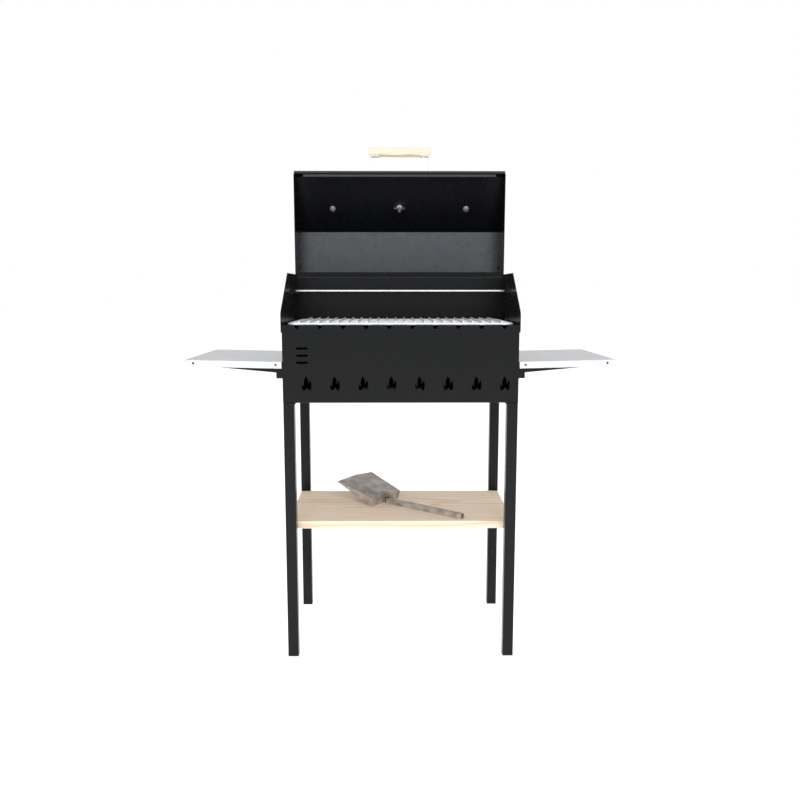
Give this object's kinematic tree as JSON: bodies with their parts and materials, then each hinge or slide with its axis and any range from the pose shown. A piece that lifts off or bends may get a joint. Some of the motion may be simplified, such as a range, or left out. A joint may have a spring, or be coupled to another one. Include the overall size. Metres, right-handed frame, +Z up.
{
  "type": "charcoal grill",
  "caption": "Charcoal grill on four square legs with an open hinged lid, side tables, wooden shelf, wire grate, warming rack and a coal scoop.",
  "frame": {"origin": "centre of the bounding box at ground level, lid open", "axes": "+X to the right seen from the front, +Y to the back, +Z up"},
  "size_m": [1.0966, 0.48, 1.376],
  "materials": {
    "black_paint": "satin heat-proof black",
    "pine": "planed pine, unvarnished",
    "galvanised_sheet": "bright zinc sheet",
    "chromed_wire": "bright plated wire",
    "bare_steel": "bare hot-rolled steel",
    "black_plastic": "moulded",
    "zinc_fasteners": "zinc plated",
    "bracket_steel": "zinc plated strip",
    "dial_glass": "clear",
    "dial_face": "printed white",
    "needle_red": "red"
  },
  "bodies": {
    "stand": {"coal_grate_supports": "black_paint", "firebox_end_left": "black_paint", "firebox_end_right": "black_paint", "firebox_shell": "black_paint", "grate_ledges": "black_paint", "hinge_brackets": "black_paint", "hinge_pins": "zinc_fasteners", "hood_back_wall": "black_paint", "hood_front_strip": "black_paint", "hood_rivets": "black_paint", "hood_side_left": "black_paint", "hood_side_right": "black_paint", "leg_bolts": "zinc_fasteners", "leg_feet": "black_plastic", "leg_front_left": "black_paint", "leg_front_right": "black_paint", "leg_gussets": "black_paint", "leg_rear_left": "black_paint", "leg_rear_right": "black_paint", "leg_spigots": "black_paint", "lid_stops": "black_paint", "rack_ledges": "black_paint", "shelf_board": "pine", "shelf_rails": "black_paint", "shelf_screws": "zinc_fasteners", "table_sockets": "black_paint"},
    "lid": {"lid_shell": "black_paint", "lid_stiffener": "black_paint", "lid_cheek_left": "black_paint", "lid_cheek_right": "black_paint", "hinge_leaves": "black_paint", "handle_brackets": "bracket_steel", "handle_grip": "pine", "handle_screws": "zinc_fasteners", "handle_bolts": "zinc_fasteners", "damper_bolts": "zinc_fasteners", "damper_washers": "zinc_fasteners", "damper_nuts": "zinc_fasteners", "thermometer_case": "zinc_fasteners", "thermometer_dial": "dial_face", "thermometer_glass": "dial_glass", "thermometer_stem": "zinc_fasteners", "thermometer_nut": "zinc_fasteners"},
    "damper_left": {"damper_disc_left": "black_paint"},
    "damper_right": {"damper_disc_right": "black_paint"},
    "needle": {"thermometer_needle": "needle_red"},
    "cooking_grate": {"cooking_grate_frame": "chromed_wire", "cooking_grate_bars": "chromed_wire", "cooking_grate_cross_wires": "chromed_wire"},
    "warming_rack": {"warming_rack_frame": "chromed_wire", "warming_rack_wires": "chromed_wire"},
    "coal_grate": {"coal_grate": "black_paint"},
    "table_left": {"table_tray_left": "galvanised_sheet", "table_arms_left": "black_paint", "table_rivets_left": "zinc_fasteners"},
    "table_right": {"table_tray_right": "galvanised_sheet", "table_arms_right": "black_paint", "table_rivets_right": "zinc_fasteners"},
    "scoop": {"scoop_pan": "bare_steel", "scoop_handle": "bare_steel"}
  },
  "joints": [
    {"name": "lid_hinge", "type": "hinge", "parent": "stand", "child": "lid", "pos_m": [0, 0.11031, 0.9415], "axis": [1, 0, 0], "range_deg": [0, 98]},
    {"name": "damper_left_turn", "type": "hinge", "parent": "lid", "child": "damper_left", "pos_m": [-0.2, 0.19335, 1.21258], "axis": [0, 0.8166, 0.5772], "range_deg": [0, 45]},
    {"name": "damper_right_turn", "type": "hinge", "parent": "lid", "child": "damper_right", "pos_m": [0.2, 0.19335, 1.21258], "axis": [0, 0.8166, 0.5772], "range_deg": [0, 45]},
    {"name": "needle_turn", "type": "hinge", "parent": "lid", "child": "needle", "pos_m": [0, 0.18815, 1.21993], "axis": [0, -0.8166, -0.5772], "range_deg": [0, 270]},
    {"name": "cooking_grate_lift", "type": "slide", "parent": "stand", "child": "cooking_grate", "axis": [0, 0, 1], "range_m": [0, 0.03]},
    {"name": "warming_rack_lift", "type": "slide", "parent": "stand", "child": "warming_rack", "axis": [0, 0, 1], "range_m": [0, 0.06]},
    {"name": "coal_grate_lift", "type": "slide", "parent": "stand", "child": "coal_grate", "axis": [0, 0, 1], "range_m": [0, 0.06]},
    {"name": "table_left_lift", "type": "slide", "parent": "stand", "child": "table_left", "axis": [0, 0, 1], "range_m": [0, 0.05]},
    {"name": "table_right_lift", "type": "slide", "parent": "stand", "child": "table_right", "axis": [0, 0, 1], "range_m": [0, 0.05]},
    {"name": "scoop_lift", "type": "slide", "parent": "stand", "child": "scoop", "axis": [0, 0, 1], "range_m": [0, 0.2]}
  ]
}
